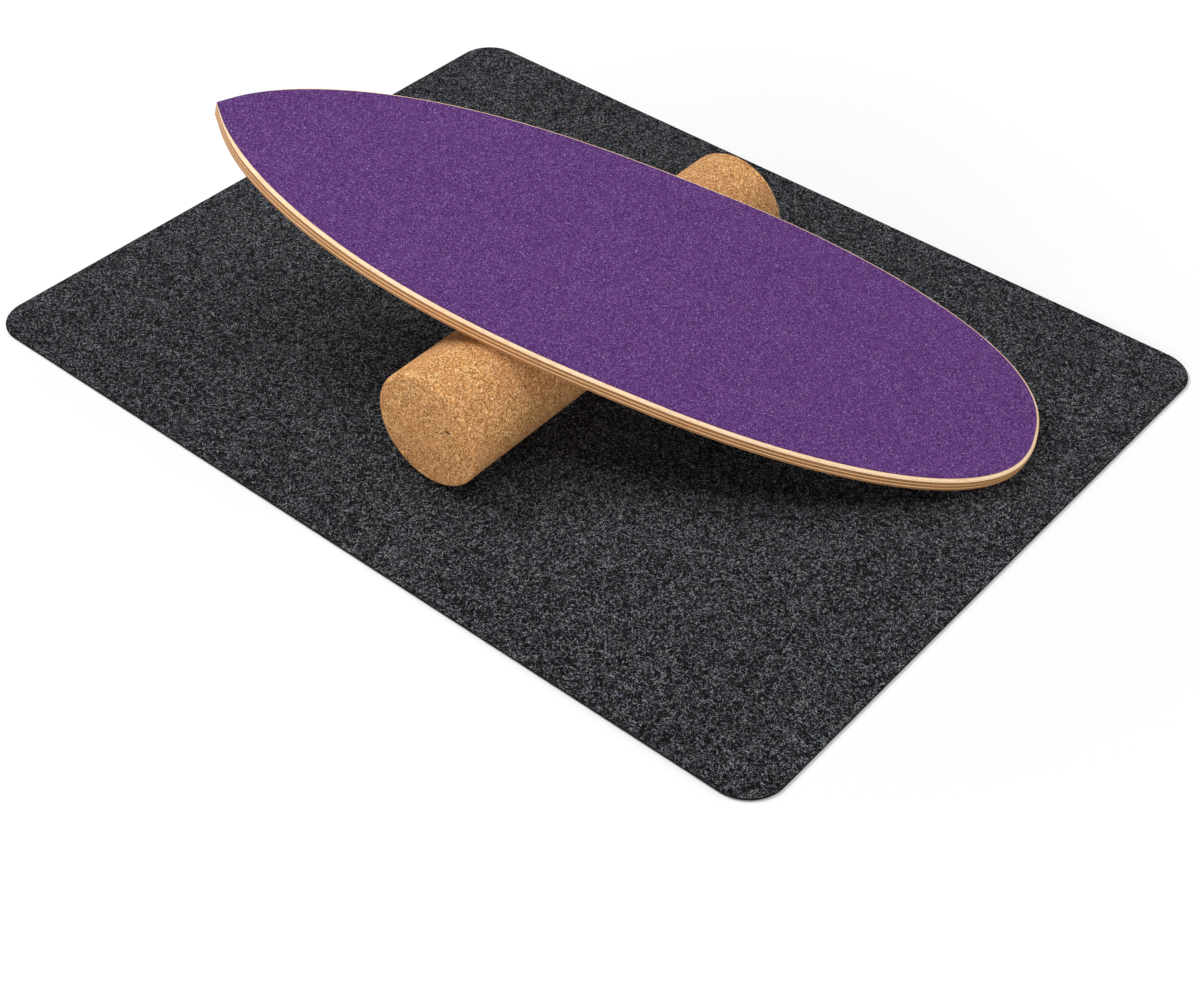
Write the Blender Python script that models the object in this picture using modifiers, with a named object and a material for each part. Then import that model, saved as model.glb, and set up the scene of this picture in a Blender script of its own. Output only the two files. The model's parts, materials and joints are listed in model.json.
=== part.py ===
"""Balance roller board: a surf-shaped plywood board with a grip sheet, resting askew on a cork roller.

The roller lies on a thin felt mat and the board's tail rests on the mat. Lengths are in metres and
+Z is up. The origin is the middle of the mat's underside. X runs along the mat, towards the tail.
"""

import math

import bmesh
import bpy
import numpy as np

# Running and resting gaps
SEAT_GAP = 0.0003
TAIL_GAP = 0.0003
GRIP_GAP = 0.0003
GLUE_LINE = 0.0003

# Felt mat
MAT_LENGTH = 0.808
MAT_WIDTH = 0.625
MAT_THICKNESS = 0.0025
MAT_CORNER_RADIUS = 0.032
MAT_CORNER_STEPS = 14

# Cork roller: its middle is set off from the mat's middle, and it lies nearly square to the mat
ROLLER_DIAMETER = 0.100
ROLLER_LENGTH = 0.400
ROLLER_EDGE_RADIUS = 0.004
ROLLER_MIDDLE = (0.0091, -0.0153)
ROLLER_YAW = math.radians(1.1)
ROLLER_SIDES = 96
ROLLER_EDGE_STEPS = 3

# Grip sheet outline: two superellipse arcs meet where the sheet is widest. Distances are along it
GRIP_NOSE_REACH = 0.4073
GRIP_TAIL_REACH = 0.2903
GRIP_HALF_WIDTH = 0.1221
NOSE_FULLNESS = 2.71
NOSE_SHARPNESS = 1.46
TAIL_FULLNESS = 2.00
TAIL_SHARPNESS = 0.834
OUTLINE_POINTS = 132

# Board: the roller crosses under it this far from the widest place, towards the nose
ROLLER_FROM_WIDEST = 0.0752
BOARD_SIDE_SHIFT = -0.0044
BOARD_YAW = math.radians(23.0)
BOARD_THICKNESS = 0.0130
GRIP_THICKNESS = 0.0008
GRIP_SETBACK = 0.0004
BOARD_EDGE_RADIUS = 0.0030
BOARD_EDGE_STEPS = 3
PLY_NAMES = (
    "ply_1_bottom_face",
    "ply_2_cross",
    "ply_3_long",
    "ply_4_middle_cross",
    "ply_5_long",
    "ply_6_cross",
    "ply_7_top_face",
)

# What follows from the sizes above. The grip ends a setback short of where the top edge rounds over
WOOD_RIM = GRIP_SETBACK + BOARD_EDGE_RADIUS
ROLLER_RADIUS = ROLLER_DIAMETER / 2
ROLLER_AXIS_HEIGHT = MAT_THICKNESS + SEAT_GAP + ROLLER_RADIUS
BOARD_OVER_AXIS = ROLLER_RADIUS + SEAT_GAP
PLY_COUNT = len(PLY_NAMES)
PLY_THICKNESS = (BOARD_THICKNESS - (PLY_COUNT - 1) * GLUE_LINE) / PLY_COUNT


def clear_scene():
    """Removes every object that the scene starts with."""
    for item in list(bpy.data.objects):
        bpy.data.objects.remove(item)


def new_collection(name):
    """A collection of the scene."""
    made = bpy.data.collections.new(name)
    bpy.context.scene.collection.children.link(made)
    return made


def new_material(name, colour, roughness):
    """A plain surface of one colour, given as red, green and blue."""
    made = bpy.data.materials.new(name)
    made.use_nodes = True
    surface = made.node_tree.nodes["Principled BSDF"]
    surface.inputs["Base Color"].default_value = (*colour, 1.0)
    surface.inputs["Roughness"].default_value = roughness
    surface.inputs["Metallic"].default_value = 0.0
    return made


def new_object(name, mesh, collection, material=None):
    """An object around a mesh or a curve."""
    made = bpy.data.objects.new(name, mesh)
    collection.objects.link(made)
    if material:
        mesh.materials.append(material)
    return made


def grip_edge():
    """The grip sheet's edge as fine points, with x towards the tail from the widest place."""
    turn = np.linspace(0, math.pi / 2, 2000)
    nose_x = -GRIP_NOSE_REACH * np.sin(turn) ** (2 / NOSE_FULLNESS)
    nose_y = GRIP_HALF_WIDTH * np.cos(turn) ** NOSE_SHARPNESS
    tail_x = GRIP_TAIL_REACH * np.sin(turn) ** (2 / TAIL_FULLNESS)
    tail_y = GRIP_HALF_WIDTH * np.cos(turn) ** TAIL_SHARPNESS
    upper_x = np.concatenate([tail_x[::-1], nose_x[1:]])
    upper_y = np.concatenate([tail_y[::-1], nose_y[1:]])
    upper_y[0] = 0
    upper_y[-1] = 0
    x = np.concatenate([upper_x, upper_x[-2:0:-1]])
    y = np.concatenate([upper_y, -upper_y[-2:0:-1]])
    return np.stack([x, y], axis=1)


def board_outline(growth, count):
    """count points round the grip's edge moved outwards by growth, closer together where it bends.

    The points are evenly spaced in a measure that adds the length gone to the turning gone, so that
    the nose and the tail stay round. x is counted from the place above the roller.
    """
    edge = grip_edge()
    along = np.roll(edge, -1, axis=0) - np.roll(edge, 1, axis=0)
    along /= np.linalg.norm(along, axis=1)[:, None]
    outward = np.stack([along[:, 1], -along[:, 0]], axis=1)
    grown = edge + growth * outward
    step = np.linalg.norm(np.roll(grown, -1, axis=0) - grown, axis=1)
    heading = np.unwrap(np.arctan2(along[:, 1], along[:, 0]))
    bend = np.abs(np.append(np.diff(heading), 0))
    measure = np.concatenate([[0], np.cumsum(step / step.sum() + bend / bend.sum())])
    wanted = np.linspace(0, measure[-1], count, endpoint=False)
    closed = np.vstack([grown, grown[:1]])
    x = np.interp(wanted, measure, closed[:, 0]) + ROLLER_FROM_WIDEST
    y = np.interp(wanted, measure, closed[:, 1]) + BOARD_SIDE_SHIFT
    return np.stack([x, y], axis=1)


def rest_tilt():
    """How far the board leans, about the roller, when the round of its tail's lower edge meets the mat.

    With h the distance from the axis to the centre of that round across the board, and d the distance
    along the slope, the round's lowest point is at axis + h cos(tilt) - d sin(tilt) - edge radius.
    """
    outline = board_outline(WOOD_RIM, OUTLINE_POINTS)
    reach = (outline @ np.array([math.cos(BOARD_YAW), -math.sin(BOARD_YAW)])).max()
    across = BOARD_OVER_AXIS + BOARD_EDGE_RADIUS
    along = reach - BOARD_EDGE_RADIUS
    drop = MAT_THICKNESS + TAIL_GAP + BOARD_EDGE_RADIUS - ROLLER_AXIS_HEIGHT
    return math.acos(drop / math.hypot(across, along)) - math.atan2(along, across)


def flat_outline(name, points, extrude, round_radius=0.0, round_steps=0):
    """A flat closed outline given thickness, its edges rounded outwards by round_radius."""
    curve = bpy.data.curves.new(name, "CURVE")
    curve.dimensions = "2D"
    curve.fill_mode = "BOTH"
    curve.extrude = extrude
    curve.bevel_depth = round_radius
    curve.bevel_resolution = round_steps
    spline = curve.splines.new("POLY")
    spline.points.add(len(points) - 1)
    for point, (x, y) in zip(spline.points, points):
        point.co = (x, y, 0, 1)
    spline.use_cyclic_u = True
    return curve


def closed_mesh(name, curve, collection):
    """The mesh of a flat curve with its caps welded to its sides."""
    source = new_object(name + "_curve", curve, collection)
    graph = bpy.context.evaluated_depsgraph_get()
    mesh = bpy.data.meshes.new_from_object(source.evaluated_get(graph))
    mesh.name = name
    body = bmesh.new()
    body.from_mesh(mesh)
    bmesh.ops.remove_doubles(body, verts=body.verts, dist=1e-6)
    bmesh.ops.recalc_face_normals(body, faces=body.faces)
    body.to_mesh(mesh)
    body.free()
    bpy.data.objects.remove(source)
    return mesh


def mat_outline():
    """A rectangle with round corners, each corner an arc."""
    half = np.array([MAT_LENGTH, MAT_WIDTH]) / 2 - MAT_CORNER_RADIUS
    points = []
    for corner, (side_x, side_y) in enumerate(((1, 1), (-1, 1), (-1, -1), (1, -1))):
        for step in range(MAT_CORNER_STEPS + 1):
            turn = math.pi / 2 * (corner + step / MAT_CORNER_STEPS)
            x = side_x * half[0] + MAT_CORNER_RADIUS * math.cos(turn)
            y = side_y * half[1] + MAT_CORNER_RADIUS * math.sin(turn)
            points.append((x, y))
    return points


def make_mat(parts):
    """The felt mat, one flat sheet that lies on the floor."""
    felt = new_material("felt_charcoal", (0.040, 0.041, 0.045), 0.95)
    curve = flat_outline("felt_mat", mat_outline(), MAT_THICKNESS / 2)
    mat = new_object("felt_mat", closed_mesh("felt_mat", curve, parts), parts, felt)
    mat.location = (0, 0, MAT_THICKNESS / 2)
    return mat


def make_roller(parts, travel):
    """The cork roller, a solid cylinder with its rims rounded, its origin on its own axis."""
    cork = new_material("cork", (0.48, 0.26, 0.11), 0.85)
    mesh = bpy.data.meshes.new("cork_roller")
    body = bmesh.new()
    bmesh.ops.create_cone(
        body,
        cap_ends=True,
        segments=ROLLER_SIDES,
        radius1=ROLLER_RADIUS,
        radius2=ROLLER_RADIUS,
        depth=ROLLER_LENGTH,
    )
    body.to_mesh(mesh)
    body.free()
    mesh.shade_smooth()
    mesh.set_sharp_from_angle(angle=math.radians(40))
    roller = new_object("cork_roller", mesh, parts, cork)
    roller.parent = travel
    roller.rotation_euler = (math.pi / 2, 0, 0)
    bevel = roller.modifiers.new("rounded_rims", "BEVEL")
    bevel.width = ROLLER_EDGE_RADIUS
    bevel.segments = ROLLER_EDGE_STEPS
    bevel.limit_method = "ANGLE"
    bevel.angle_limit = math.radians(40)
    return roller


def make_slab(name, middle, thickness, cutters, tilt):
    """A helper slab that keeps only what lies within one ply's height."""
    mesh = bpy.data.meshes.new(name)
    body = bmesh.new()
    bmesh.ops.create_cube(body, size=1)
    wide = 2 * (GRIP_NOSE_REACH + GRIP_TAIL_REACH)
    bmesh.ops.scale(body, verts=body.verts, vec=(wide, wide, thickness))
    body.to_mesh(mesh)
    body.free()
    slab = new_object(name, mesh, cutters)
    slab.parent = tilt
    slab.location = (0, 0, middle)
    slab.rotation_euler = (0, 0, BOARD_YAW)
    slab.hide_render = True
    slab.display_type = "WIRE"
    return slab


def make_plies(parts, cutters, tilt):
    """Seven veneers, each one slice of a single blank whose upper and lower edges are rounded."""
    face_veneer = new_material("birch_face", (0.72, 0.50, 0.30), 0.55)
    cross_veneer = new_material("birch_cross", (0.42, 0.24, 0.12), 0.65)
    curve = flat_outline(
        "board_blank",
        board_outline(WOOD_RIM - BOARD_EDGE_RADIUS, OUTLINE_POINTS),
        BOARD_THICKNESS / 2 - BOARD_EDGE_RADIUS,
        BOARD_EDGE_RADIUS,
        BOARD_EDGE_STEPS,
    )
    blank = closed_mesh("board_blank", curve, parts)
    plies = []
    for index, name in enumerate(PLY_NAMES):
        mesh = blank.copy()
        mesh.name = name
        ply = new_object(name, mesh, parts, cross_veneer if index % 2 else face_veneer)
        ply.parent = tilt
        ply.location = (0, 0, BOARD_OVER_AXIS + BOARD_THICKNESS / 2)
        ply.rotation_euler = (0, 0, BOARD_YAW)
        low = BOARD_OVER_AXIS + index * (PLY_THICKNESS + GLUE_LINE)
        middle = low + PLY_THICKNESS / 2
        slab = make_slab(name + "_slab", middle, PLY_THICKNESS, cutters, tilt)
        cut = ply.modifiers.new("ply_height", "BOOLEAN")
        cut.operation = "INTERSECT"
        cut.solver = "EXACT"
        cut.object = slab
        plies.append(ply)
    return plies


def make_grip(parts, tilt):
    """The gritty grip sheet that covers the board's top, short of its rounded edge."""
    grit = new_material("grip_purple", (0.130, 0.055, 0.210), 0.90)
    curve = flat_outline("grip_sheet", board_outline(0.0, OUTLINE_POINTS), GRIP_THICKNESS / 2)
    grip = new_object("grip_sheet", closed_mesh("grip_sheet", curve, parts), parts, grit)
    grip.parent = tilt
    height = BOARD_OVER_AXIS + BOARD_THICKNESS + GRIP_GAP + GRIP_THICKNESS / 2
    grip.location = (0, 0, height)
    grip.rotation_euler = (0, 0, BOARD_YAW)
    return grip


def main():
    """Lays the mat, sets the roller on it and leans the board over the roller."""
    clear_scene()
    parts = new_collection("balance_roller_board")
    cutters = new_collection("cutters")
    travel = new_object("roller_travel_axis", None, parts)
    travel.location = (*ROLLER_MIDDLE, ROLLER_AXIS_HEIGHT)
    travel.rotation_euler = (0, 0, ROLLER_YAW)
    tilt = new_object("board_tilt_axis", None, parts)
    tilt.parent = travel
    tilt.rotation_euler = (0, rest_tilt(), 0)
    make_mat(parts)
    make_roller(parts, travel)
    make_plies(parts, cutters, tilt)
    make_grip(parts, tilt)


main()
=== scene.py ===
"""Looks of the balance roller board: a felt mat, a cork roller and a plywood board with a gritty top.

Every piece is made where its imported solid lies. Lengths are in metres and +Z is up. The origin is the
middle of the mat's underside. Colours are linear red, green and blue. A board place is counted from
the roller's axis: x along the board towards its tail, y across it and z square to it.
"""

import json
import math

import bmesh
import bpy
import numpy as np
from mathutils import Matrix, Vector


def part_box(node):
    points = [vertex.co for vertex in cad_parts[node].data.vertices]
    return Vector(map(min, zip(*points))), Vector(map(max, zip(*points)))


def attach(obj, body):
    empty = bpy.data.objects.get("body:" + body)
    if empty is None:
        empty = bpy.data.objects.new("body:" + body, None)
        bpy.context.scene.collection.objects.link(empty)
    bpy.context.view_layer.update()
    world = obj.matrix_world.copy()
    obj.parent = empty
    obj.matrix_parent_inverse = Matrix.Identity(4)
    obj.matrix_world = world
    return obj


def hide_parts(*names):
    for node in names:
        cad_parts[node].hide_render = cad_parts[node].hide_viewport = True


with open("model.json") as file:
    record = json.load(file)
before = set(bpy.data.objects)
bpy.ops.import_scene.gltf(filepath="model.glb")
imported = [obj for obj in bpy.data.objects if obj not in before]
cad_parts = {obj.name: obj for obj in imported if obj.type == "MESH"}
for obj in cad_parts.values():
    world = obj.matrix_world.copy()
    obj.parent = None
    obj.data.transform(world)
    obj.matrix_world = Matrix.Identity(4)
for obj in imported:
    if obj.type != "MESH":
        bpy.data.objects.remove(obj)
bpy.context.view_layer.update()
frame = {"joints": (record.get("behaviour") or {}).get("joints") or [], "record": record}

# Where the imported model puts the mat, the roller's axis and the leaning board
MAT_LOW, MAT_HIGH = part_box("felt_mat")
AXLE = Vector(next(j["pos_m"] for j in frame["joints"] if j["name"] == "board_tilt"))
STANDING = next(m for m in frame["record"]["mounts"] if m["name"] == "standing_surface")
BOARD_UP = Vector(STANDING["axis"]).normalized()
ROLLER_YAW = math.atan2(BOARD_UP.y, BOARD_UP.x)
BOARD_TILT = math.acos(BOARD_UP.z)
BOARD_YAW = math.radians(23.0)
ROLLER_FRAME = Matrix.Translation(AXLE) @ Matrix.Rotation(ROLLER_YAW, 4, "Z")
BOARD_FRAME = ROLLER_FRAME @ Matrix.Rotation(BOARD_TILT, 4, "Y") @ Matrix.Rotation(BOARD_YAW, 4, "Z")

# Felt mat
MAT_CORNER_RADIUS = 0.032
MAT_AROUND = 880
MAT_CAP_RINGS = 72
MAT_CUT_ROUND = 0.0007
DOT_HEIGHT = 0.0003
DOT_RADIUS = 0.0010
DOT_PITCH = 0.0070
DOT_MARGIN = 0.0070
DOT_SIDES = 8
DOT_GROUPS = 3
# How unlike the dots are: how far they lie off their places, and the least and greatest share of the
# radius that each dot and each of its corners has. A dot's rings each have a share of radius and height.
DOT_SCATTER = 0.00018
DOT_RADIUS_SHARES = (0.85, 1.12)
DOT_CORNER_SHARES = (0.92, 1.08)
DOT_RINGS = ((1.0, -0.33), (1.0, 0.35), (0.62, 0.87))

# Cork roller
ROLLER_RADIUS = 0.050
ROLLER_LENGTH = 0.400
ROLLER_RIM_RADIUS = 0.004
ROLLER_AROUND = 256
ROLLER_RINGS = 232
ROLLER_RIM_RINGS = 9
ROLLER_FACE_RINGS = 25
# Granule size, and in granules where the seam round each begins and how far an open pore reaches
CORK_GRAIN = 0.0034
CORK_SEAM_START = 0.45
CORK_SEAM_DEPTH = 0.00007
CORK_GRAIN_STEP = 0.00005
CORK_PORE_SHARE = 0.028
CORK_PORE_REACH = 0.34
CORK_PORE_DEPTH = 0.00030
# A near-black dash on the near end, over a small bumped-in dent, placed from the end's middle
DASH_PLACE = (0.0226, 0.0113)
DASH_LENGTH = 0.0048
DASH_WIDTH = 0.0019
DASH_TURN = math.radians(-6)
DASH_DEPTH = 0.004
DASH_BLUR = 0.0002

# Board: the grip sheet's outline is two superellipse arcs that meet where the sheet is widest
GRIP_NOSE_REACH = 0.4073
GRIP_TAIL_REACH = 0.2903
GRIP_HALF_WIDTH = 0.1221
NOSE_FULLNESS = 2.71
NOSE_SHARPNESS = 1.46
TAIL_FULLNESS = 2.00
TAIL_SHARPNESS = 0.834
NOSE_HALF_ANGLE = math.radians(52.5)
NOSE_ROUND = 0.0012
NOSE_FADE = 0.050
NOSE_RIM_SHARE = 0.12
LOWER_ROUND_LEFT = 0.25
ROLLER_FROM_WIDEST = 0.0752
BOARD_SIDE_SHIFT = -0.0044
BOARD_AROUND = 720
GRIP_CAP_RINGS = 40
GRIP_THICKNESS = 0.0008
GRIP_GAP = 0.0003
GRIP_SETBACK = 0.0004
BOARD_THICKNESS = 0.0130
BOARD_EDGE_RADIUS = 0.0030
SEAT_GAP = 0.0003
PLY_NAMES = (
    "ply_1_bottom_face",
    "ply_2_cross",
    "ply_3_long",
    "ply_4_middle_cross",
    "ply_5_long",
    "ply_6_cross",
    "ply_7_top_face",
)
GLUE_SEAM = 0.00006
BOARD_UNDER = ROLLER_RADIUS + SEAT_GAP
BOARD_TOP = BOARD_UNDER + BOARD_THICKNESS
WOOD_RIM = GRIP_SETBACK + BOARD_EDGE_RADIUS
# The stretch of the board's middle line that its caps end on, how high the grip's underside lies over
# the wood, the grip's rounded edge, and the rings down a veneer's side. Then the dark glue seam: its share
# of that side, and how far and over what share the wood draws back beside it.
BOARD_SPINE = (ROLLER_FROM_WIDEST - GRIP_NOSE_REACH * 0.72, ROLLER_FROM_WIDEST + GRIP_TAIL_REACH * 0.62)
GRIP_LIFT = 0.00004
GRIP_EDGE_ROUND = 0.0004
PLY_SIDE_RINGS = 11
SEAM_SHARE = 0.15
SEAM_NICK = 0.00005
SEAM_NICK_SHARE = 0.05

# Unevenness as layers of noise, each with its cell size, its height and the seed of its random draws,
# and how far the mat's and the grip's lumps are let down into them
NOISE_CELLS = 32
MAT_LUMPS = ((0.0110, 0.00014, 3), (0.0047, 0.0000798, 4))
MAT_LUMP_DROP = 0.0001806
MAT_FRAY = ((0.0016, 0.00012, 5),)
VENEER_SWAY = ((0.0900, 0.00009, 31), (0.0200, 0.00004, 32))
GRIP_LUMPS = ((0.0035, 0.00006, 41), (0.0130, 0.00005, 42))
GRIP_LUMP_DROP = 0.00006

# The angle past which an edge of the board is drawn sharp, and the distance within which points merge
SHARP_ANGLE = math.radians(50)
WELD = 0.000002

# Photograph: its size in pixels, and the camera's place, direction, roll and lens
IMAGE_SIZE = (1200, 1008)
CAMERA_PLACE = Vector((0.8603, -1.0533, 1.0720))
CAMERA_LOOK = Vector((-0.46171, 0.57322, -0.67694))
CAMERA_ROLL = math.radians(1.597)
FOCAL_PIXELS = 2048.9
SENSOR_WIDTH = 36.0

# Studio: half the floor's width, how much whiter the floor is seen near the object and far out, the
# distances between which that grows, and the faint light from all round
FLOOR_REACH = 6.0
FLOOR_LIFT = (0.05, 1.0)
FLOOR_LIFT_REACH = (0.38, 2.4)
WORLD_LIGHT = 0.01
# The point that the lamps face, and each lamp's name, place, width and height, and power in watts
LAMP_TARGET = (0.0, 0.0, 0.03)
LAMPS = (
    ("left_key", (-2.54, -0.44, 3.27), (2.2, 2.2), 152.0),
    ("top_fill", (0.40, 0.20, 4.13), (2.2, 2.2), 56.0),
    ("back_low", (2.70, 2.70, 1.75), (2.2, 2.2), 68.0),
    ("front_strip", (1.06, -3.96, 0.85), (3.2, 1.2), 64.0),
    ("right_strip", (3.36, -2.36, 0.85), (3.2, 1.2), 56.0),
)


# Shapes


def eased(part):
    """A share from 0 to 1, eased at both ends: part^2 (3 - 2 part)."""
    return part * part * (3 - 2 * part)


def placed(points, place):
    """Points of a local frame, moved to where that frame lies."""
    turn = np.array(place.to_3x3())
    return points @ turn.T + np.array(place.translation)


def lattice_noise(points, size, seed):
    """Smooth noise from -1 to 1: random values on a cubic lattice, blended between its points."""
    table = np.random.default_rng(seed).uniform(-1, 1, (NOISE_CELLS, NOISE_CELLS, NOISE_CELLS))
    scaled = points / size
    cell = np.floor(scaled).astype(int)
    part = eased(scaled - cell)
    total = np.zeros(points.shape[:-1])
    for corner in np.ndindex(2, 2, 2):
        index = (cell + np.array(corner)) % NOISE_CELLS
        weight = np.where(corner, part, 1 - part).prod(axis=-1)
        total += weight * table[index[..., 0], index[..., 1], index[..., 2]]
    return total


def layered_noise(points, layers):
    """Layers of smooth noise added up, each given as its cell size, height and seed."""
    return sum(height * lattice_noise(points, size, seed) for size, height, seed in layers)


def granules(points, size, seed):
    """(distance to the nearest granule centre, over size, and that granule's random number).

    One centre lies at a random place in each cell of a cubic lattice, and each point looks at its own
    cell and the 26 round it.
    """
    rng = np.random.default_rng(seed)
    centres = rng.uniform(0, 1, (NOISE_CELLS, NOISE_CELLS, NOISE_CELLS, 3))
    numbers = rng.uniform(0, 1, (NOISE_CELLS, NOISE_CELLS, NOISE_CELLS))
    scaled = points / size
    cell = np.floor(scaled).astype(int)
    nearest = np.full(points.shape[:-1], 9.0)
    number = np.zeros(points.shape[:-1])
    for step in np.ndindex(3, 3, 3):
        other = cell + np.array(step) - 1
        index = other % NOISE_CELLS
        centre = other + centres[index[..., 0], index[..., 1], index[..., 2]]
        distance = np.linalg.norm(scaled - centre, axis=-1)
        closer = distance < nearest
        nearest = np.where(closer, distance, nearest)
        number = np.where(closer, numbers[index[..., 0], index[..., 1], index[..., 2]], number)
    return nearest, number


def mirrored_edge(x, y, heading, count):
    """(points, outward directions) of a closed edge that is symmetric about y = 0, count of each.

    x, y and heading describe its upper half, from the +x end to the -x end. The points are evenly
    spaced in a measure that adds the length gone to the turning gone, so that corners stay round.
    """
    length = np.hypot(np.diff(x), np.diff(y))
    bend = np.abs(np.diff(heading))
    measure = np.concatenate([[0], np.cumsum(length / length.sum() + bend / bend.sum())])
    wanted = np.linspace(0, measure[-1], count // 2 + 1)
    half_x = np.interp(wanted, measure, x)
    half_y = np.interp(wanted, measure, y)
    turned = np.interp(wanted, measure, heading)
    points = np.stack([half_x, half_y], axis=1)
    outward = np.stack([np.sin(turned), -np.cos(turned)], axis=1)
    flipped = np.array([1.0, -1.0])
    points = np.vstack([points, points[-2:0:-1] * flipped])
    outward = np.vstack([outward, outward[-2:0:-1] * flipped])
    return points, outward


def board_edge():
    """(points, outward directions, rim shares) of the grip sheet's edge in board places.

    From the widest place, x is reach sin(t)^(2 / fullness) each way and y is half width
    cos(t)^sharpness, with t from 0 to a quarter turn. At the nose the sides run straight once they
    lean by the point's half angle, and a small round joins them. The rim share is how much of the
    full rim of bare wood shows beyond the grip: all of it, except close to the nose.
    """
    turn = np.linspace(0, math.pi / 2, 4000)
    tail_x = GRIP_TAIL_REACH * np.sin(turn) ** (2 / TAIL_FULLNESS)
    tail_y = GRIP_HALF_WIDTH * np.cos(turn) ** TAIL_SHARPNESS
    nose_x = -GRIP_NOSE_REACH * np.sin(turn) ** (2 / NOSE_FULLNESS)
    nose_y = GRIP_HALF_WIDTH * np.cos(turn) ** NOSE_SHARPNESS
    x = np.concatenate([tail_x[::-1], nose_x[1:-1]])
    y = np.concatenate([[0], tail_y[-2::-1], nose_y[1:-1]])
    heading = np.unwrap(np.arctan2(np.gradient(y), np.gradient(x)))
    heading[0] = math.pi / 2
    lean = math.pi + NOSE_HALF_ANGLE
    kept = heading < lean
    x, y, heading = x[kept], y[kept], heading[kept]
    corner = x[-1] - y[-1] / math.tan(NOSE_HALF_ANGLE)
    middle = corner + NOSE_ROUND / math.sin(NOSE_HALF_ANGLE)
    arc = np.linspace(lean, 3 * math.pi / 2, 12)
    x = np.concatenate([x, middle + NOSE_ROUND * np.sin(arc)])
    y = np.concatenate([y, -NOSE_ROUND * np.cos(arc)])
    y[-1] = 0
    heading = np.concatenate([heading, arc])
    points, outward = mirrored_edge(x, y, heading, BOARD_AROUND)
    near = np.clip((points[:, 0] - x[-1]) / NOSE_FADE, 0, 1)
    rim = NOSE_RIM_SHARE + (1 - NOSE_RIM_SHARE) * eased(near)
    return points + np.array([ROLLER_FROM_WIDEST, BOARD_SIDE_SHIFT]), outward, rim


def mat_edge():
    """The mat's edge: a rectangle with round corners, its upper half from the middle of the +x side."""
    half_x = (MAT_HIGH.x - MAT_LOW.x) / 2
    half_y = (MAT_HIGH.y - MAT_LOW.y) / 2
    radius = MAT_CORNER_RADIUS
    flat_x = half_x - radius
    flat_y = half_y - radius
    quarter = math.pi / 2
    turn = np.linspace(0, quarter, 60)
    run = np.linspace(0, 1, 40)
    level = np.ones(40)
    stretches = (
        (half_x * level, flat_y * run, quarter * level),
        (flat_x + radius * np.cos(turn), flat_y + radius * np.sin(turn), quarter + turn),
        (flat_x * (1 - 2 * run), half_y * level, 2 * quarter * level),
        (-flat_x - radius * np.sin(turn), flat_y + radius * np.cos(turn), 2 * quarter + turn),
        (-half_x * level, flat_y * (1 - run), 3 * quarter * level),
    )
    x, y, heading = np.concatenate(stretches, axis=1)
    return mirrored_edge(x, y, heading, MAT_AROUND)


def carried(edge, outward, spine, shares, growths, heights):
    """A closed plate as rings. Each lies a share of the way from the spine to the edge grown outwards.

    The spine is the stretch of the plate's middle line, from one x to another, that ends the caps.
    Growths and heights hold one number for each ring, or one for each of its points.
    """
    middle = np.stack([np.clip(edge[:, 0], *spine), np.full(len(edge), edge[:, 1].mean())], axis=1)
    share = np.reshape(shares, (len(shares), 1, 1))
    growth = np.reshape(growths, (len(shares), -1, 1))
    height = np.reshape(heights, (len(shares), -1, 1))
    flat = middle + share * (edge + growth * outward - middle)
    return np.concatenate([flat, np.broadcast_to(height, (*flat.shape[:2], 1))], axis=2)


def shell_mesh(name, rings, marks=None):
    """A closed mesh from rings of points, an array of ring x point x 3.

    Neighbouring rings are joined by quads. Points that nearly meet are merged, which closes the caps,
    and the faces are turned outwards. marks holds one number for each point, kept as attributes.
    """
    count, around = rings.shape[:2]
    start = np.arange(count - 1)[:, None] * around
    here = np.arange(around)[None, :]
    after = (here + 1) % around
    corners = (start + here, start + after, start + after + around, start + here + around)
    quads = np.stack(corners, axis=-1)
    mesh = bpy.data.meshes.new(name)
    mesh.from_pydata(rings.reshape(-1, 3), [], quads.reshape(-1, 4))
    for mark, values in (marks or {}).items():
        layer = mesh.attributes.new(mark, "FLOAT", "POINT")
        layer.data.foreach_set("value", np.asarray(values, dtype=np.float32).ravel())
    body = bmesh.new()
    body.from_mesh(mesh)
    bmesh.ops.remove_doubles(body, verts=body.verts, dist=WELD)
    bmesh.ops.recalc_face_normals(body, faces=body.faces)
    body.to_mesh(mesh)
    body.free()
    mesh.shade_smooth()
    return mesh


def new_piece(name, mesh, material, body, *nodes):
    """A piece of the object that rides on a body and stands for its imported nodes."""
    piece = bpy.data.objects.new(name, mesh)
    bpy.context.scene.collection.objects.link(piece)
    mesh.materials.append(material)
    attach(piece, body)
    if nodes:
        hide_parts(*nodes)
    return piece


# Shader nodes


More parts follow.
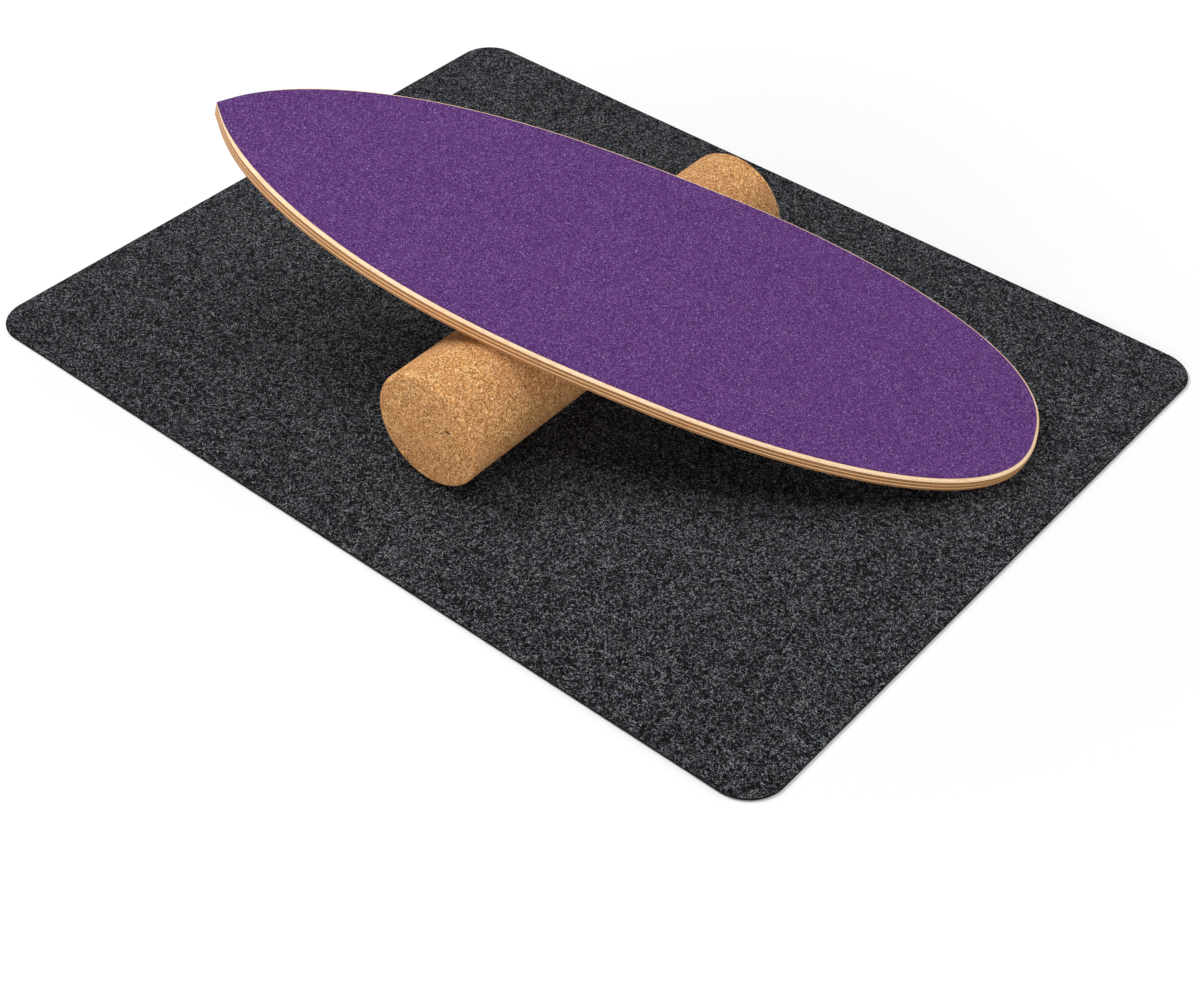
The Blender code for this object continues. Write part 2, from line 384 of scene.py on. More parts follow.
class Signal:
    """A number that changes over a surface. Arithmetic on signals adds their Math nodes."""

    def __init__(self, finish, socket):
        self.finish = finish
        self.socket = socket

    def maths(self, operation, first, second=0.0):
        """The result of one Math node."""
        return self.finish.add("ShaderNodeMath", {"operation": operation}, {0: first, 1: second})

    def __add__(self, other):
        return self.maths("ADD", self, other)

    def __radd__(self, other):
        return self.maths("ADD", other, self)

    def __sub__(self, other):
        return self.maths("SUBTRACT", self, other)

    def __rsub__(self, other):
        return self.maths("SUBTRACT", other, self)

    def __mul__(self, other):
        return self.maths("MULTIPLY", self, other)

    def __rmul__(self, other):
        return self.maths("MULTIPLY", other, self)

    def __pow__(self, other):
        return self.maths("POWER", self, other)

    def __abs__(self):
        return self.maths("ABSOLUTE", self)

    def greater(self, level):
        """1 where the signal is above level."""
        return self.maths("GREATER_THAN", self, level)

    def least(self, other):
        """The smaller of two."""
        return self.maths("MINIMUM", self, other)

    def most(self, other):
        """The larger of two."""
        return self.maths("MAXIMUM", self, other)

    def eased(self, start, end):
        """0 at start and 1 at end, smoothly between them. start may be the larger."""
        settings = {"interpolation_type": "SMOOTHSTEP"}
        sockets = {"Value": self, "From Min": start, "From Max": end}
        return self.finish.add("ShaderNodeMapRange", settings, sockets)


class Finish:
    """A material in the making. Its nodes come from add, and wear links them to the surface."""

    def __init__(self, name, roughness, specular=0.5):
        self.material = bpy.data.materials.new(name)
        self.material.use_nodes = True
        self.tree = self.material.node_tree
        self.surface = self.tree.nodes["Principled BSDF"]
        self.surface.inputs["Roughness"].default_value = roughness
        self.surface.inputs["Specular IOR Level"].default_value = specular
        self.place = self.add("ShaderNodeTexCoord", output="Object")

    def add(self, kind, settings=None, sockets=None, output=0):
        """A node of that kind, set up, with values or links for its sockets. Returns its output."""
        node = self.tree.nodes.new(kind)
        for key, value in (settings or {}).items():
            if key == "stops":
                self.colour_stops(node.color_ramp, value)
            else:
                setattr(node, key, value)
        for key, value in (sockets or {}).items():
            if isinstance(value, Signal):
                self.tree.links.new(value.socket, node.inputs[key])
            else:
                node.inputs[key].default_value = value
        return Signal(self, node.outputs[output])

    @staticmethod
    def colour_stops(ramp, stops):
        """Gives a ramp its stops, as (place, colour) pairs."""
        while len(ramp.elements) < len(stops):
            ramp.elements.new(0.5)
        for element, (place, colour) in zip(ramp.elements, stops):
            element.position = place
            element.color = (*colour, 1.0)

    def in_frame(self, place, scale=(1.0, 1.0, 1.0), source=None):
        """Object coordinates counted in a turned and moved frame, then stretched by scale."""
        settings = {"vector_type": "TEXTURE"}
        sockets = {
            "Vector": source or self.place,
            "Location": place.translation,
            "Rotation": place.to_euler("XYZ"),
        }
        local = self.add("ShaderNodeMapping", settings, sockets)
        return self.stretched(local, scale)

    def stretched(self, vector, scale):
        """A vector with each part multiplied by its own number."""
        return self.add("ShaderNodeVectorMath", {"operation": "MULTIPLY"}, {0: vector, 1: scale})

    def shifted(self, vector, other):
        """The sum of two vectors."""
        return self.add("ShaderNodeVectorMath", {"operation": "ADD"}, {0: vector, 1: other})

    def along(self, vector, direction):
        """How much of a vector lies along a direction, without its sign."""
        sockets = {0: vector, 1: direction}
        return abs(self.add("ShaderNodeVectorMath", {"operation": "DOT_PRODUCT"}, sockets, "Value"))

    def parts(self, vector):
        """The x, y and z of a vector."""
        split = self.add("ShaderNodeSeparateXYZ", None, {0: vector})
        return [Signal(self, socket) for socket in split.socket.node.outputs]

    def noise(self, vector, scale, detail=2.0, roughness=0.5, distortion=0.0, output=0):
        """Fractal noise about 0.5."""
        sockets = {
            "Vector": vector,
            "Scale": scale,
            "Detail": detail,
            "Roughness": roughness,
            "Distortion": distortion,
        }
        return self.add("ShaderNodeTexNoise", None, sockets, output)

    def cells(self, vector, scale, feature="F1", output="Distance", randomness=1.0):
        """Cell noise: the distance to the nearest centre or edge, or the cell's colour."""
        sockets = {"Vector": vector, "Scale": scale, "Randomness": randomness}
        return self.add("ShaderNodeTexVoronoi", {"feature": feature}, sockets, output)

    def mix(self, share, first, second, blend="MIX"):
        """One colour laid over another by a share."""
        settings = {"data_type": "RGBA", "blend_type": blend}
        sockets = {0: share, 6: self.solid(first), 7: self.solid(second)}
        return self.add("ShaderNodeMix", settings, sockets, 2)

    @staticmethod
    def solid(colour):
        """A colour for a socket: a signal as it is, or red, green and blue made whole."""
        return colour if isinstance(colour, Signal) else (*colour, 1.0)

    def ramp(self, share, *stops):
        """The colour at a share along a row of colour stops."""
        return self.add("ShaderNodeValToRGB", {"stops": stops}, {0: share})

    def wear(self, colour, roughness=None, height=None, relief=0.0, strength=1.0):
        """Links the colour, and if given the roughness and a height, whose relief is in metres."""
        links = self.tree.links
        links.new(colour.socket, self.surface.inputs["Base Color"])
        if roughness:
            links.new(roughness.socket, self.surface.inputs["Roughness"])
        if height:
            sockets = {"Height": height, "Distance": relief, "Strength": strength}
            bump = self.add("ShaderNodeBump", None, sockets)
            links.new(bump.socket, self.surface.inputs["Normal"])
        return self.material


# Finishes


def felt_lane(degrees, seed):
    """A frame turned about z by an angle, and moved so that no two patterns are alike."""
    move = Matrix.Translation((seed * 0.37, seed * 0.21, seed * 0.05))
    return move @ Matrix.Rotation(math.radians(degrees), 4, "Z")


def felt_strands(finish, source, degrees, seed, width=0.0006):
    """Thin wandering strands that run one way: noise stretched along them and bent by a slower noise."""
    bend = finish.noise(source, 110.0, 1.0, output="Color")
    bent = finish.shifted(source, finish.stretched(bend, (0.007, 0.007, 0.0)))
    run = finish.in_frame(felt_lane(degrees, seed), (110.0, 1 / width, 500.0), bent)
    ridge = abs(finish.noise(run, 1.0, 0.0) - 0.5)
    return ridge.eased(0.075, 0.02)


def felt_tufts(finish, source, degrees, seed):
    """Short tufts that lie one way: cells drawn out along them. Returns the numbers of each tuft."""
    run = finish.in_frame(felt_lane(degrees, seed), (430.0, 1500.0, 600.0), source)
    return finish.parts(finish.cells(run, 1.0, output="Color"))


def felt_finish(name):
    """Needled charcoal felt: near-black wool with pale, bluish and brownish strands lying every way."""
    finish = Finish(name, roughness=0.95, specular=0.08)
    finish.surface.inputs["Sheen Weight"].default_value = 0.012
    finish.surface.inputs["Sheen Roughness"].default_value = 0.6
    place = finish.place
    strands = [felt_strands(finish, place, angle, seed) for seed, angle in enumerate((12, 71, 128, 163))]
    tangle = strands[0].most(strands[1] * 0.9).most(strands[2]).most(strands[3] * 0.8)
    sway = finish.noise(place, 260.0, 2.0, output="Color")
    bent = finish.shifted(place, finish.stretched(sway, (0.0026, 0.0026, 0.0)))
    clumps = finish.noise(place, 400.0, 1.0, 0.6)
    tufts = [felt_tufts(finish, bent, angle, seed) for seed, angle in enumerate((20, 83, 141))]
    longest = tufts[0][0].most(tufts[1][0]).most(tufts[2][0])
    crumbs = finish.noise(place, 1000.0, 0.0).eased(0.46, 0.54)
    patches = finish.noise(place, 85.0, 2.0, 0.6).eased(0.30, 0.72)
    drifts = finish.noise(place, 14.0, 2.0, 0.5).eased(0.30, 0.70)
    light = (longest ** 9.5) * (0.14 + crumbs * 0.94) * (0.84 + tangle * 0.66)
    level = light * (0.63 + patches * 0.42 + drifts * 0.16)
    wool = finish.ramp(
        tufts[0][1],
        (0.25, (0.218, 0.236, 0.284)),
        (0.75, (0.250, 0.256, 0.278)),
        (0.97, (0.310, 0.280, 0.236)),
    )
    bright = finish.mix(level, (0.0016, 0.0016, 0.0020), wool)
    cut = finish.add("ShaderNodeAttribute", {"attribute_name": "cut"}, None, "Fac")
    edge = finish.mix(clumps.eased(0.43, 0.60), (0.005, 0.004, 0.003), (0.014, 0.011, 0.008))
    colour = finish.mix(cut, bright, edge)
    height = tangle * 0.4 + longest * 0.8 + clumps * 0.5
    return finish.wear(colour, None, height, 0.00035, 0.8)


def dot_finish():
    """Anti-slip dots of soft warm-grey rubber, part covered by wool strands."""
    finish = Finish("rubber_dot_warm_grey", roughness=0.45)
    milky = finish.noise(finish.place, 700.0, 2.0)
    strands = felt_strands(finish, finish.place, 40, 7)
    grey = finish.mix(milky.eased(0.35, 0.65), (0.235, 0.215, 0.195), (0.36, 0.335, 0.31))
    colour = finish.mix(strands * 0.7, grey, (0.03, 0.03, 0.034))
    return finish.wear(colour, None, milky, 0.0002, 0.5)


def dark_dash(finish, local):
    """1 on the near-black dash on the roller's near end, and 0 off it."""
    across, along, up = finish.parts(local)
    aside = across - DASH_PLACE[0]
    above = up - DASH_PLACE[1]
    run = abs(aside * math.cos(DASH_TURN) + above * math.sin(DASH_TURN))
    off = abs(above * math.cos(DASH_TURN) - aside * math.sin(DASH_TURN))
    lengthwise = run.eased(DASH_LENGTH / 2 + DASH_BLUR, DASH_LENGTH / 2 - DASH_BLUR)
    crosswise = off.eased(DASH_WIDTH / 2 + DASH_BLUR, DASH_WIDTH / 2 - DASH_BLUR)
    near_end = along.eased(DASH_DEPTH - ROLLER_LENGTH / 2, DASH_DEPTH - DASH_BLUR - ROLLER_LENGTH / 2)
    return lengthwise * crosswise * near_end


def cork_finish():
    """Pressed cork: golden and brown granules, dark bark flecks and a few open pores."""
    finish = Finish("cork_pressed_granules", roughness=0.78, specular=0.20)
    local = finish.in_frame(ROLLER_FRAME)
    sway = finish.noise(local, 420.0, 2.0, output="Color")
    bent = finish.shifted(local, finish.stretched(sway, (0.0010, 0.0010, 0.0010)))
    coarse = finish.cells(bent, 340.0, output="Color")
    fine = finish.cells(bent, 820.0, output="Color")
    coarse_number = finish.parts(coarse)[0]
    fine_number = finish.parts(fine)[1]
    seam = finish.cells(bent, 340.0, "DISTANCE_TO_EDGE").eased(0.10, 0.0)
    fine_seam = finish.cells(bent, 820.0, "DISTANCE_TO_EDGE").eased(0.14, 0.0)
    dust = finish.noise(local, 1000.0, 2.0, 0.6)
    patches = finish.noise(local, 26.0, 3.0, 0.6)
    shade = coarse_number * 0.26 + fine_number * 0.38 + dust.eased(0.38, 0.62) * 0.36
    body = finish.ramp(
        shade,
        (0.10, (0.190, 0.062, 0.017)),
        (0.36, (0.560, 0.245, 0.074)),
        (0.66, (0.830, 0.440, 0.150)),
        (0.90, (1.000, 0.800, 0.440)),
    )
    warm = finish.mix(patches.eased(0.40, 0.66) * 0.36, body, (0.600, 0.240, 0.105))
    seamed = finish.mix(seam * 0.40 + fine_seam * 0.25, warm, (0.260, 0.100, 0.038))
    bark = finish.noise(finish.stretched(bent, (1.0, 1.0, 0.5)), 820.0, 1.0, 0.4)
    fleck = bark.eased(0.625, 0.660) * coarse_number.eased(0.20, 0.40)
    grit = finish.parts(finish.cells(local, 1000.0, output="Color"))
    pale = finish.mix(grit[0].eased(0.84, 0.90) * 0.45, seamed, (0.980, 0.740, 0.430))
    gritty = finish.mix(grit[1].eased(0.85, 0.90) * 0.62, pale, (0.170, 0.062, 0.020))
    flecked = finish.mix(fleck * 0.85, gritty, (0.100, 0.034, 0.012))
    dash = dark_dash(finish, local)
    colour = finish.mix(dash * 0.97, flecked, (0.012, 0.006, 0.004))
    rough = 0.70 + fine_number * 0.16 + seam * 0.08
    raised = coarse_number * 0.30 + fine_number * 0.25 + dust * 0.25
    height = raised - seam * 0.5 - fleck * 0.9 - dash * 1.5
    return finish.wear(colour, rough, height, 0.00035, 0.55)


def ply_finish(name, along_grain, pale, deep, line):
    """One kind of veneer. Its grain runs along the board or across it, and its end grain is darker."""
    finish = Finish(name, roughness=0.5, specular=0.25)
    finish.surface.inputs["Coat Weight"].default_value = 0.10
    finish.surface.inputs["Coat Roughness"].default_value = 0.35
    local = finish.in_frame(BOARD_FRAME)
    normal = finish.add("ShaderNodeTexCoord", output="Normal")
    stretch = (1.0, 12.0, 12.0) if along_grain else (12.0, 1.0, 12.0)
    lanes = finish.stretched(local, stretch)
    slow = finish.noise(lanes, 7.0, 3.0, 0.6, 0.4)
    fine = finish.noise(lanes, 120.0, 2.0, 0.6)
    pores = finish.noise(finish.stretched(lanes, (4.0, 4.0, 4.0)), 60.0, 1.0, 0.5).eased(0.66, 0.74)
    side = BOARD_FRAME.to_3x3() @ Vector((1, 0, 0) if along_grain else (0, 1, 0))
    end_grain = finish.along(normal, side).eased(0.35, 0.95)
    layers = finish.noise(finish.stretched(local, (22.0, 22.0, 1500.0)), 1.0, 1.0)
    base = finish.mix(slow.eased(0.30, 0.70), pale, deep)
    edge_lines = layers.eased(0.50, 0.68) * (1 - finish.along(normal, BOARD_UP))
    streaks = fine.eased(0.48, 0.70) * 0.45 + pores * 0.4 + edge_lines * 0.30
    streaked = finish.mix(streaks.least(1.0), base, line)
    darker = finish.mix(end_grain * 0.55, streaked, line)
    seam = finish.add("ShaderNodeAttribute", {"attribute_name": "seam"}, None, "Fac")
    colour = finish.mix(seam * 0.92, darker, (0.050, 0.018, 0.006))
    rough = 0.42 + fine * 0.22
    height = fine * 0.6 - pores * 0.6 - seam * 0.6
    return finish.wear(colour, rough, height, 0.00012, 0.5)


def grip_finish():
    """Gritty purple grip: crushed grains in a purple binder, with pale sparkling specks."""
    finish = Finish("grip_purple_grit", roughness=0.85, specular=0.12)
    local = finish.in_frame(BOARD_FRAME)
    grain = finish.cells(local, 1350.0, output="Color")
    grain_height = finish.cells(local, 1350.0)
    number, other, third = finish.parts(grain)[:3]
    crumbs = finish.noise(local, 1500.0, 0.0)
    patches = finish.noise(local, 60.0, 3.0, 0.6)
    shade = number * 0.50 + crumbs.eased(0.42, 0.58) * 0.37 + patches.eased(0.3, 0.7) * 0.04 + 0.04
    body = finish.ramp(
        shade,
        (0.08, (0.026, 0.006, 0.056)),
        (0.45, (0.085, 0.025, 0.144)),
        (0.78, (0.141, 0.052, 0.216)),
        (1.00, (0.320, 0.185, 0.410)),
    )
    tint = finish.noise(local, 330.0, 2.0).eased(0.55, 0.72)
    cool = finish.mix(tint * 0.20, body, (0.090, 0.070, 0.200))
    speck = other.greater(0.955) * grain_height.eased(0.60, 0.30)
    colour = finish.mix(speck * 0.65, cool, (0.56, 0.46, 0.66))
    rough = 0.86 - speck * 0.45 - third * 0.12
    height = (1 - grain_height) * 0.7 + crumbs * 0.3
    return finish.wear(colour, rough, height, 0.00030, 0.8)


# Pieces


def make_mat():
    """The felt mat: a thin sheet with a lightly uneven top, a clean cut edge, and dots under it."""
    edge, outward = mat_edge()
    top, underside = MAT_HIGH.z, MAT_LOW.z + DOT_HEIGHT
    fillet = MAT_CUT_ROUND
    turn = np.linspace(0, math.pi / 2, 5)[1:]
    cap = np.linspace(0, 1, MAT_CAP_RINGS)
    # The first ring of the underside keeps clear of the frayed edge
    under = np.concatenate([[0.997], np.linspace(0.97, 0, 11)])
    shares = np.concatenate([cap, np.ones(2 * len(turn)), under])
    above = np.ones(MAT_CAP_RINGS)
    below = np.ones(len(under))
    drawn_back = np.concatenate([above, 1 - np.sin(turn), 1 - np.cos(turn), below])
    heights = np.concatenate([top * above, top - fillet * (1 - np.cos(turn))])
    heights = np.concatenate([heights, underside + fillet * (1 - np.sin(turn)), underside * below])
    reach = MAT_HIGH.x - (MAT_HIGH.y - MAT_LOW.y) / 2
    rings = carried(edge, outward, (-reach, reach), shares, -fillet * drawn_back, heights)
    face = rings[:MAT_CAP_RINGS]
    face[..., 2] += layered_noise(face, MAT_LUMPS) - MAT_LUMP_DROP
    side = rings[MAT_CAP_RINGS : -len(under)]
    side[..., :2] += layered_noise(side, MAT_FRAY)[..., None] * outward
    cut = np.zeros(rings.shape[:2])
    cut[MAT_CAP_RINGS + 1 : -len(under) - 1] = 1
    mesh = shell_mesh("mat_felt", rings, {"cut": cut})
    mat = new_piece("mat_felt", mesh, felt_finish("felt_charcoal"), "mat", "felt_mat")
    rubber = dot_finish()
    dots = [make_dots(group, rubber) for group in range(DOT_GROUPS)]
    return mat


def dot_centres(group):
    """Middles of one group of dots: every third column of a grid whose columns are shifted in turn."""
    columns = np.arange(MAT_LOW.x + DOT_MARGIN, MAT_HIGH.x - DOT_MARGIN, DOT_PITCH)
    rows = np.arange(MAT_LOW.y + DOT_MARGIN, MAT_HIGH.y - DOT_MARGIN - DOT_PITCH / 2, DOT_PITCH)
    shift = np.arange(len(columns)) % 2 * DOT_PITCH / 2
    grid = np.stack(np.broadcast_arrays(columns[:, None], rows + shift[:, None]), axis=-1)
    centres = grid[group::DOT_GROUPS].reshape(-1, 2)
    round_start = np.array([MAT_HIGH.x, MAT_HIGH.y]) - MAT_CORNER_RADIUS
    beyond = np.maximum(np.abs(centres) - round_start, 0)
    return centres[np.linalg.norm(beyond, axis=1) < MAT_CORNER_RADIUS - DOT_MARGIN / 2]


def make_dots(group, rubber):
    """One group of the anti-slip dots: low domes, each slightly its own size and shape.

    A dome is three rings of points, one over the other, and a tip that meets the floor.
    """
    rng = np.random.default_rng(11 + group)
    centres = dot_centres(group)
    centres += rng.normal(0, DOT_SCATTER, centres.shape)
    radius = DOT_RADIUS * rng.uniform(*DOT_RADIUS_SHARES, (len(centres), 1))
    wobble = rng.uniform(*DOT_CORNER_SHARES, (len(centres), DOT_SIDES))
    turn = np.arange(DOT_SIDES) / DOT_SIDES * 2 * math.pi
    ring = np.stack([np.cos(turn), np.sin(turn)], axis=-1) * (radius * wobble)[..., None]
    layers = []
    for share, drop in DOT_RINGS:
        level = np.full((*ring.shape[:2], 1), MAT_LOW.z + DOT_HEIGHT * (1 - drop))
        layers.append(np.concatenate([centres[:, None] + ring * share, level], axis=2))
    tips = np.concatenate([centres, np.full((len(centres), 1), MAT_LOW.z)], axis=1)
    points = np.concatenate([*layers, tips[:, None]], axis=1)
    here = np.arange(DOT_SIDES)
    after = (here + 1) % DOT_SIDES
    wall = np.stack([after, here, here + DOT_SIDES, after + DOT_SIDES], axis=1)
    tip = np.full(DOT_SIDES, 3 * DOT_SIDES)
    crown = np.stack([after + 2 * DOT_SIDES, here + 2 * DOT_SIDES, tip], axis=1)
    starts = np.arange(len(centres))[:, None, None] * points.shape[1]
    faces = []
    for kind in (wall, wall + DOT_SIDES, crown, here[None]):
        faces += (kind[None] + starts).reshape(-1, kind.shape[1]).tolist()
    mesh = bpy.data.meshes.new(f"anti_slip_dots_{group + 1}")
    mesh.from_pydata(points.reshape(-1, 3), [], faces)
    mesh.shade_smooth()
    return new_piece(mesh.name, mesh, rubber, "mat")


def spun(radii, along, ring):
    """A profile of distances from the y axis and places along it, spun round it: profile x ring x 3."""
    level = np.broadcast_to(along[:, None], (len(along), len(ring)))
    return np.stack([radii[:, None] * ring[:, 0], level, radii[:, None] * ring[:, 1]], axis=2)


def make_roller():
    """The cork roller, turned round its axis: end face, round rim, side, round rim, end face.

    Its surface sinks at the granules' seams and at a few pores, by up to a third of a millimetre.
    """
    round_turn = np.linspace(0, math.pi / 2, ROLLER_RIM_RINGS)
    rim = ROLLER_RIM_RADIUS
    half = ROLLER_LENGTH / 2
    face = np.linspace(0, ROLLER_RADIUS - rim, ROLLER_FACE_RINGS, endpoint=False)
    side = np.linspace(rim - half, half - rim, ROLLER_RINGS)[1:-1]
    radii = np.concatenate([face, ROLLER_RADIUS - rim + rim * np.sin(round_turn)])
    along = np.concatenate([np.full(len(face), -half), rim * (1 - np.cos(round_turn)) - half])
    radii = np.concatenate([radii, np.full(len(side), ROLLER_RADIUS), radii[::-1]])
    along = np.concatenate([along, side, -along[::-1]])
    slope = np.stack([-np.gradient(along), np.gradient(radii)], axis=1)
    slope /= np.linalg.norm(slope, axis=1)[:, None]
    slope[0] = slope[1] = (0, 1)
    slope[-1] = slope[-2] = (0, -1)
    turn = np.arange(ROLLER_AROUND) / ROLLER_AROUND * 2 * math.pi
    ring = np.stack([np.cos(turn), np.sin(turn)], axis=1)
    surface = spun(radii, along, ring)
    inward = spun(slope[:, 0], slope[:, 1], ring)
    distance, number = granules(surface, CORK_GRAIN, 21)
    sunk = CORK_SEAM_DEPTH * np.clip(distance - CORK_SEAM_START, 0, 1) + CORK_GRAIN_STEP * number
    pore = (number > 1 - CORK_PORE_SHARE) * np.sqrt(np.clip(1 - distance / CORK_PORE_REACH, 0, 1))
    sunk += CORK_PORE_DEPTH * pore
    surface = surface + inward * sunk[..., None]
    mesh = shell_mesh("roller_cork", placed(surface, ROLLER_FRAME))
    roller = new_piece("roller_cork", mesh, cork_finish(), "roller", "cork_roller")
    return roller


def ply_height(edge, share):
    """Height of a boundary between two veneers round the edge: its even share and a slight sway."""
    place = np.column_stack([edge, np.full(len(edge), share)])
    sway = layered_noise(place, VENEER_SWAY) * (0 < share < 1)
    return BOARD_UNDER + BOARD_THICKNESS * share + sway


def round_loss(past, radius):
    """How far a quarter round has drawn back from the side, at a height past the round's start."""
    past = np.clip(past, 0, radius)
    return radius - np.sqrt(radius**2 - past**2)


def wood_growth(height, rim):
    """How far outside the grip's edge the wood lies at a height. Its two edges are quarter rounds.

    The upper one and the setback beside it shrink with the rim share, and the lower one part of the way.
    """
    upper = BOARD_EDGE_RADIUS * rim
    lower = BOARD_EDGE_RADIUS * (LOWER_ROUND_LEFT + (1 - LOWER_ROUND_LEFT) * rim)
    above = round_loss(height - BOARD_TOP + upper, upper)
    below = round_loss(BOARD_UNDER + lower - height, lower)
    return WOOD_RIM * rim - above - below


def make_ply(index, name, finish):
    """One veneer: a plate between two boundaries, its side as the board's rounded edge has it there.

    Its rings run from the middle of its upper face, down its side, to the middle of its lower face.
    """
    edge, outward, rim = board_edge()
    count = len(PLY_NAMES)
    glued_below = index > 0
    glued_above = index < count - 1
    low = ply_height(edge, index / count) + glued_below * GLUE_SEAM / 2
    high = ply_height(edge, (index + 1) / count) - glued_above * GLUE_SEAM / 2
    down = (1 - np.cos(np.linspace(0, math.pi, PLY_SIDE_RINGS))) / 2
    side = high + down[:, None] * (low - high)
    cap = np.array([0, 0.5, 0.92])
    above = high.mean() + cap[:, None] * (high - high.mean())
    below = low.mean() + cap[::-1, None] * (low - low.mean())
    from_face = np.minimum(down, 1 - down)
    glued = np.where(down < 0.5, glued_above, glued_below)
    nick = glued * SEAM_NICK * np.clip(1 - from_face / SEAM_NICK_SHARE, 0, 1)
    growths = np.pad(wood_growth(side, rim) - nick[:, None], ((len(cap), len(cap)), (0, 0)), "edge")
    shares = np.concatenate([cap, np.ones(len(down)), cap[::-1]])
    rings = carried(edge, outward, BOARD_SPINE, shares, growths, np.vstack([above, side, below]))
    seam = np.pad(glued * np.clip(1 - from_face / SEAM_SHARE, 0, 1), len(cap))
    marks = {"seam": np.broadcast_to(seam[:, None], rings.shape[:2])}
    mesh = shell_mesh(name.replace("ply_", "veneer_"), placed(rings, BOARD_FRAME), marks)
    mesh.set_sharp_from_angle(angle=SHARP_ANGLE)
    ply = new_piece(mesh.name, mesh, finish, "board", name)
    "cross_veneer" if index % 2 else "face_veneer"
    return ply


def make_grip():
    """The grip sheet, its upper edge softly rounded and its surface lightly uneven."""
    edge, outward, _ = board_edge()
    low = BOARD_TOP + GRIP_LIFT
    high = BOARD_TOP + GRIP_GAP + GRIP_THICKNESS
    fillet = GRIP_EDGE_ROUND
    turn = np.linspace(0, math.pi / 2, 5)[1:]
    cap = np.linspace(0, 1, GRIP_CAP_RINGS)
    shares = np.concatenate([cap, np.ones(5), [1, 0.5, 0]])
    flat = np.ones(GRIP_CAP_RINGS)
    growths = np.concatenate([-fillet * flat, fillet * (np.sin(turn) - 1), np.zeros(4)])
    heights = np.concatenate([high * flat, high - fillet * (1 - np.cos(turn))])
    heights = np.concatenate([heights, [(high + low - fillet) / 2], np.full(3, low)])
    rings = carried(edge, outward, BOARD_SPINE, shares, growths, heights)
    face = rings[:GRIP_CAP_RINGS]
    face[..., 2] += layered_noise(face, GRIP_LUMPS) - GRIP_LUMP_DROP
    mesh = shell_mesh("grip_top", placed(rings, BOARD_FRAME))
    mesh.set_sharp_from_angle(angle=SHARP_ANGLE)
    grip = new_piece("grip_top", mesh, grip_finish(), "board", "grip_sheet")
    return grip


def make_board():
    """Seven veneers, lengthwise and crosswise in turn with pale ones outside, and the grip sheet."""
    # The face veneers, top and bottom, are paler than the core partly by their own tone and partly by a
    # painted highlight, which stands for the gloss on the top's rounded edge
    face = ply_finish("veneer_pale", True, (0.95, 0.71, 0.48), (0.88, 0.60, 0.36), (0.54, 0.28, 0.12))
    core = ply_finish("veneer_gold", True, (0.96, 0.64, 0.35), (0.88, 0.52, 0.25), (0.52, 0.25, 0.09))
    cross = ply_finish("veneer_tan", False, (0.76, 0.37, 0.125), (0.60, 0.26, 0.08), (0.28, 0.095, 0.026))
    finishes = (face, cross, core, cross, core, cross, face)
    for index, (name, finish) in enumerate(zip(PLY_NAMES, finishes)):
        make_ply(index, name, finish)
    make_grip()


# Stage


def make_floor():
    """A wide white floor that keeps the object's shadow. The camera and reflections see it lifted."""
    finish = Finish("floor_white", roughness=0.9, specular=0.0)
    rays = finish.add("ShaderNodeLightPath")
    outputs = rays.socket.node.outputs
    seen = Signal(finish, outputs["Is Camera Ray"]).most(Signal(finish, outputs["Is Glossy Ray"]))
    seen = seen.most(Signal(finish, outputs["Is Transmission Ray"]))
    reached = finish.add("ShaderNodeVectorMath", {"operation": "LENGTH"}, {0: finish.place}, "Value")
    lift = seen * (FLOOR_LIFT[0] + reached.eased(*FLOOR_LIFT_REACH) * FLOOR_LIFT[1])
    finish.surface.inputs["Base Color"].default_value = (0.80, 0.80, 0.80, 1.0)
    finish.surface.inputs["Emission Color"].default_value = (1.0, 1.0, 1.0, 1.0)
    finish.tree.links.new(lift.socket, finish.surface.inputs["Emission Strength"])
    level = MAT_LOW.z - 0.0002
    mesh = bpy.data.meshes.new("floor")
    corners = [(x * FLOOR_REACH, y * FLOOR_REACH, level) for x, y in ((-1, -1), (1, -1), (1, 1), (-1, 1))]
    mesh.from_pydata(corners, [], [(0, 1, 2, 3)])
    mesh.materials.append(finish.material)
    floor = bpy.data.objects.new("floor", mesh)
    bpy.context.scene.collection.objects.link(floor)


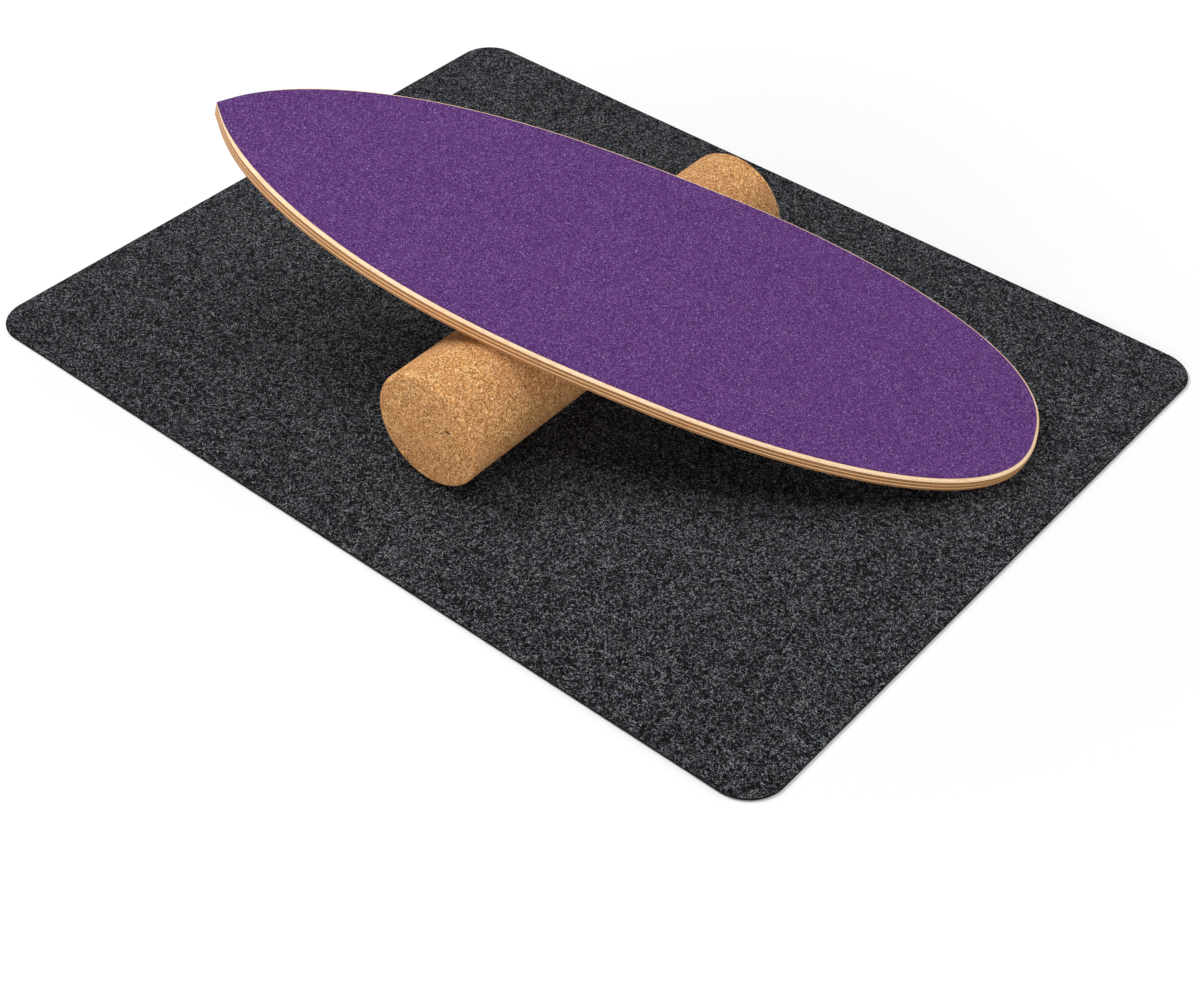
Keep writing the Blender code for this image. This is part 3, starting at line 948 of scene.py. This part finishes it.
def make_world():
    """An even pale surround: white to the camera, and a faint fill light elsewhere."""
    world = bpy.data.worlds.new("studio")
    bpy.context.scene.world = world
    world.use_nodes = True
    nodes, links = world.node_tree.nodes, world.node_tree.links
    fill = nodes["Background"]
    fill.inputs["Color"].default_value = (1.0, 1.0, 1.0, 1.0)
    fill.inputs["Strength"].default_value = WORLD_LIGHT
    white = nodes.new("ShaderNodeBackground")
    white.inputs["Color"].default_value = (1.0, 1.0, 1.0, 1.0)
    rays = nodes.new("ShaderNodeLightPath")
    blend = nodes.new("ShaderNodeMixShader")
    links.new(rays.outputs["Is Camera Ray"], blend.inputs[0])
    links.new(fill.outputs[0], blend.inputs[1])
    links.new(white.outputs[0], blend.inputs[2])
    links.new(blend.outputs[0], nodes["World Output"].inputs["Surface"])


def soft_lamp(name, place, size, power):
    """A rectangular area lamp that faces the middle of the object. The camera doesn't see it."""
    lamp = bpy.data.lights.new(name, "AREA")
    lamp.shape = "RECTANGLE"
    lamp.size, lamp.size_y = size
    lamp.energy = power
    holder = bpy.data.objects.new(name, lamp)
    holder.location = place
    holder.rotation_euler = (Vector(LAMP_TARGET) - Vector(place)).to_track_quat("-Z", "Y").to_euler()
    holder.visible_camera = False
    bpy.context.scene.collection.objects.link(holder)


def make_camera():
    """The photograph's camera, rolled a little, with its lens in sensor millimetres."""
    lens = bpy.data.cameras.new("photo_camera")
    lens.sensor_width = SENSOR_WIDTH
    lens.lens = FOCAL_PIXELS / IMAGE_SIZE[0] * SENSOR_WIDTH
    camera = bpy.data.objects.new("photo_camera", lens)
    level = CAMERA_LOOK.to_track_quat("-Z", "Y").to_matrix()
    rolled = level @ Matrix.Rotation(CAMERA_ROLL, 3, "Z")
    camera.matrix_world = Matrix.Translation(CAMERA_PLACE) @ rolled.to_4x4()
    bpy.context.scene.collection.objects.link(camera)
    bpy.context.scene.camera = camera


def main():
    """Makes the camera, the pieces and the stage round them."""
    make_camera()
    make_mat()
    make_roller()
    make_board()
    make_floor()
    make_world()
    for lamp in LAMPS:
        soft_lamp(*lamp)
    bpy.context.scene.view_settings.view_transform = "Standard"
    bpy.context.view_layer.update()


main()
